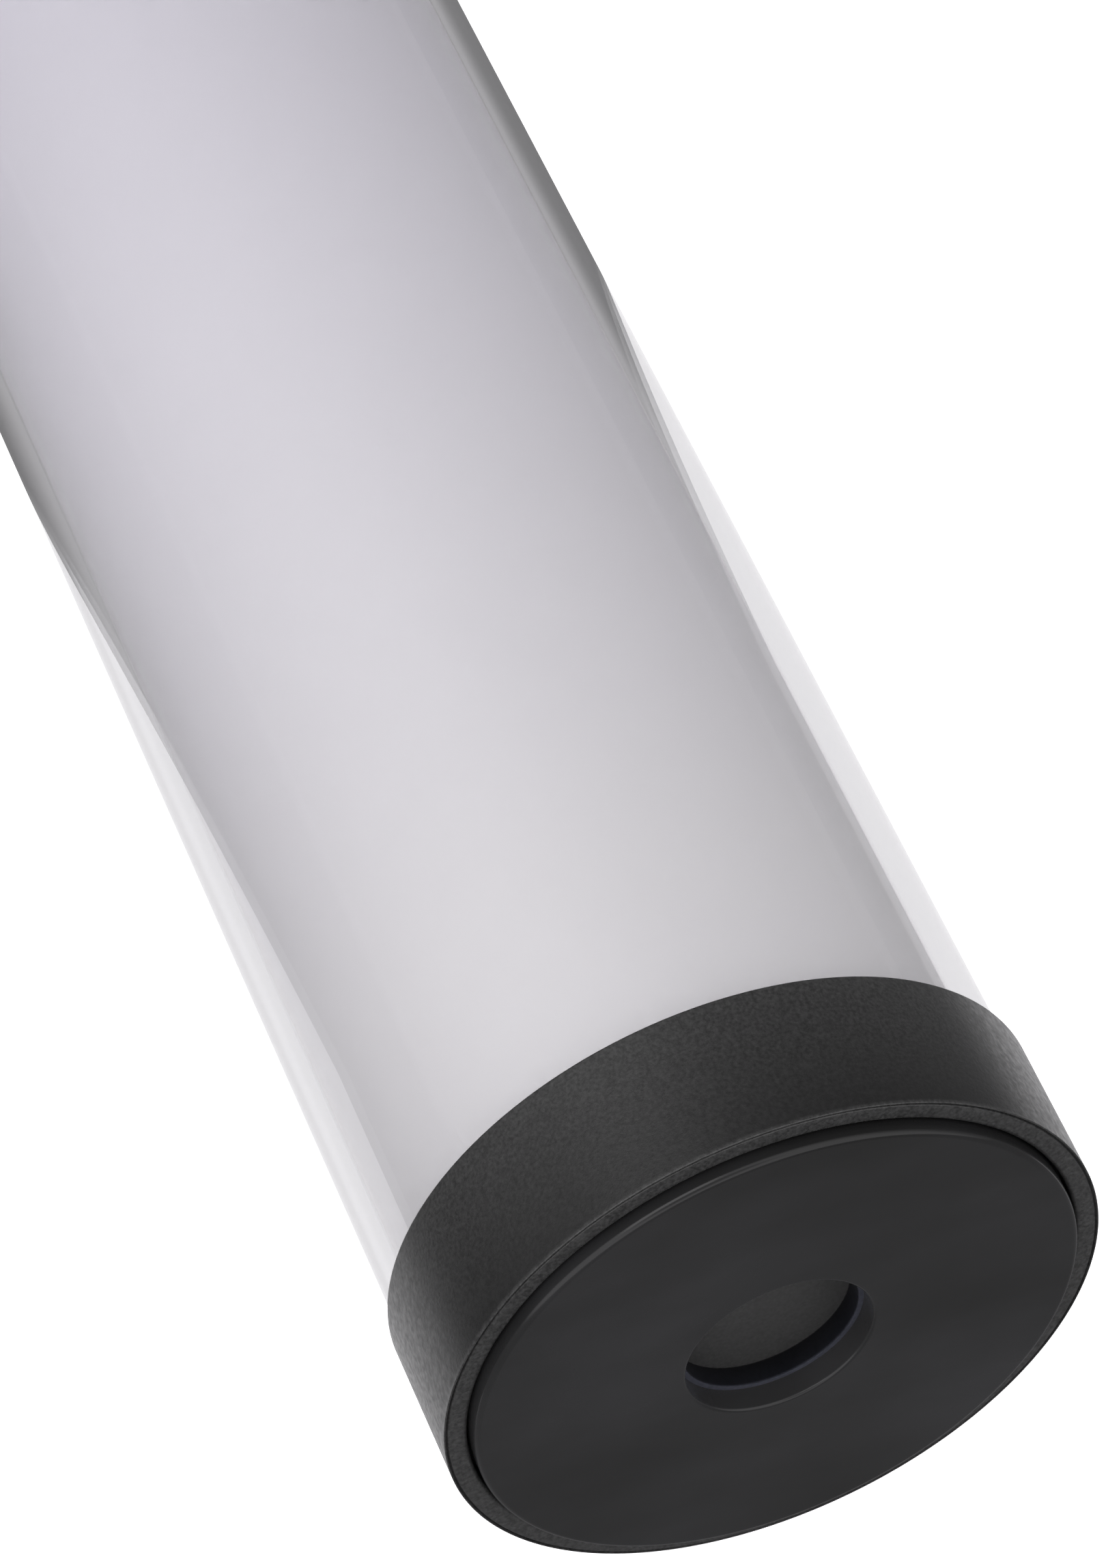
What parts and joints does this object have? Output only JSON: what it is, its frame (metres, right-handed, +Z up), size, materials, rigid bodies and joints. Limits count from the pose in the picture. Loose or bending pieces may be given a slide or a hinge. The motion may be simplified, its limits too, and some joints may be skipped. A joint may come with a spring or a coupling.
{
  "type": "led light tube",
  "caption": "Round battery LED light tube: clear tube over an opal diffuser, black end collar and handle, side panel with dial and buttons, hinged port cover, rear tripod thread.",
  "frame": {"origin": "middle of the underside, where the light lies on its collar and handle", "axes": "+X along the tube from the control handle to the plain end, +Z up and the side the LEDs face, -Y the control panel's side"},
  "size_m": [0.6, 0.0516, 0.0516],
  "materials": {
    "satin_black": "satin",
    "gloss_black": "gloss",
    "moulded_black": "matte",
    "seal_rubber": "matte",
    "cover_rubber": "matte",
    "screw_steel": "satin",
    "clear_tube": "gloss",
    "opal_sheet": "satin",
    "spine_aluminium": "satin",
    "led_board": "matte",
    "led_package": "satin",
    "display_glass": "gloss",
    "display_module": "gloss",
    "button_plastic": "satin",
    "dial_aluminium": "satin",
    "switch_body": "matte",
    "encoder_body": "satin",
    "circuit_board": "satin",
    "component_black": "matte",
    "capacitor_can": "satin",
    "connector_white": "satin",
    "socket_steel": "satin",
    "cell_wrap": "satin",
    "nickel_strip": "satin",
    "wire_red": "satin",
    "wire_black": "satin",
    "insert_brass": "satin"
  },
  "bodies": {
    "light": {"end_ring": "satin_black", "handle_shell": "satin_black", "end_plate": "gloss_black", "rear_plate": "gloss_black", "control_panel": "gloss_black", "end_plug": "moulded_black", "rear_plug": "moulded_black", "spine_bulkhead": "moulded_black", "battery_carrier": "moulded_black", "board_tray": "moulded_black", "end_plug_seal": "seal_rubber", "rear_plug_seal": "seal_rubber", "tube_gasket": "seal_rubber", "end_plug_screws": "screw_steel", "spine_screws": "screw_steel", "rear_plug_screws": "screw_steel", "led_board_screws": "screw_steel", "main_board_screws": "screw_steel", "control_board_screws": "screw_steel", "port_cover_pin": "screw_steel", "outer_tube": "clear_tube", "diffuser_sleeve": "opal_sheet", "led_spine": "spine_aluminium", "led_board_1": "led_board", "led_board_2": "led_board", "led_packages_1": "led_package", "led_packages_2": "led_package", "display_glass": "display_glass", "display_module": "display_module", "power_switch": "switch_body", "mode_switch": "switch_body", "encoder": "encoder_body", "control_board": "circuit_board", "main_board": "circuit_board", "board_inductors": "component_black", "board_chips": "component_black", "board_capacitors": "capacitor_can", "board_connectors": "connector_white", "usb_socket": "socket_steel", "battery_cell_1": "cell_wrap", "battery_cell_2": "cell_wrap", "battery_cell_3": "cell_wrap", "front_cell_link": "nickel_strip", "rear_cell_link": "nickel_strip", "battery_leads": "wire_red", "led_leads": "wire_black", "tripod_insert": "insert_brass"},
    "power_button": {"power_button": "button_plastic"},
    "mode_button": {"mode_button": "button_plastic"},
    "dial": {"dial": "dial_aluminium", "dial_shaft": "screw_steel"},
    "port_cover": {"port_cover": "cover_rubber"}
  },
  "joints": [
    {"name": "power_press", "type": "slide", "parent": "light", "child": "power_button", "axis": [0, 1, 0], "range_m": [0, 0.0005], "stiffness_N_per_m": 1200},
    {"name": "mode_press", "type": "slide", "parent": "light", "child": "mode_button", "axis": [0, 1, 0], "range_m": [0, 0.0005], "stiffness_N_per_m": 1200},
    {"name": "dial_turn", "type": "hinge", "parent": "light", "child": "dial", "pos_m": [-0.161, -0.0234, 0.0258], "axis": [0, -1, 0], "continuous": true},
    {"name": "port_cover_hinge", "type": "hinge", "parent": "light", "child": "port_cover", "pos_m": [-0.178, 0.02395, 0.032], "axis": [1, 0, 0], "range_deg": [0, 105]}
  ]
}
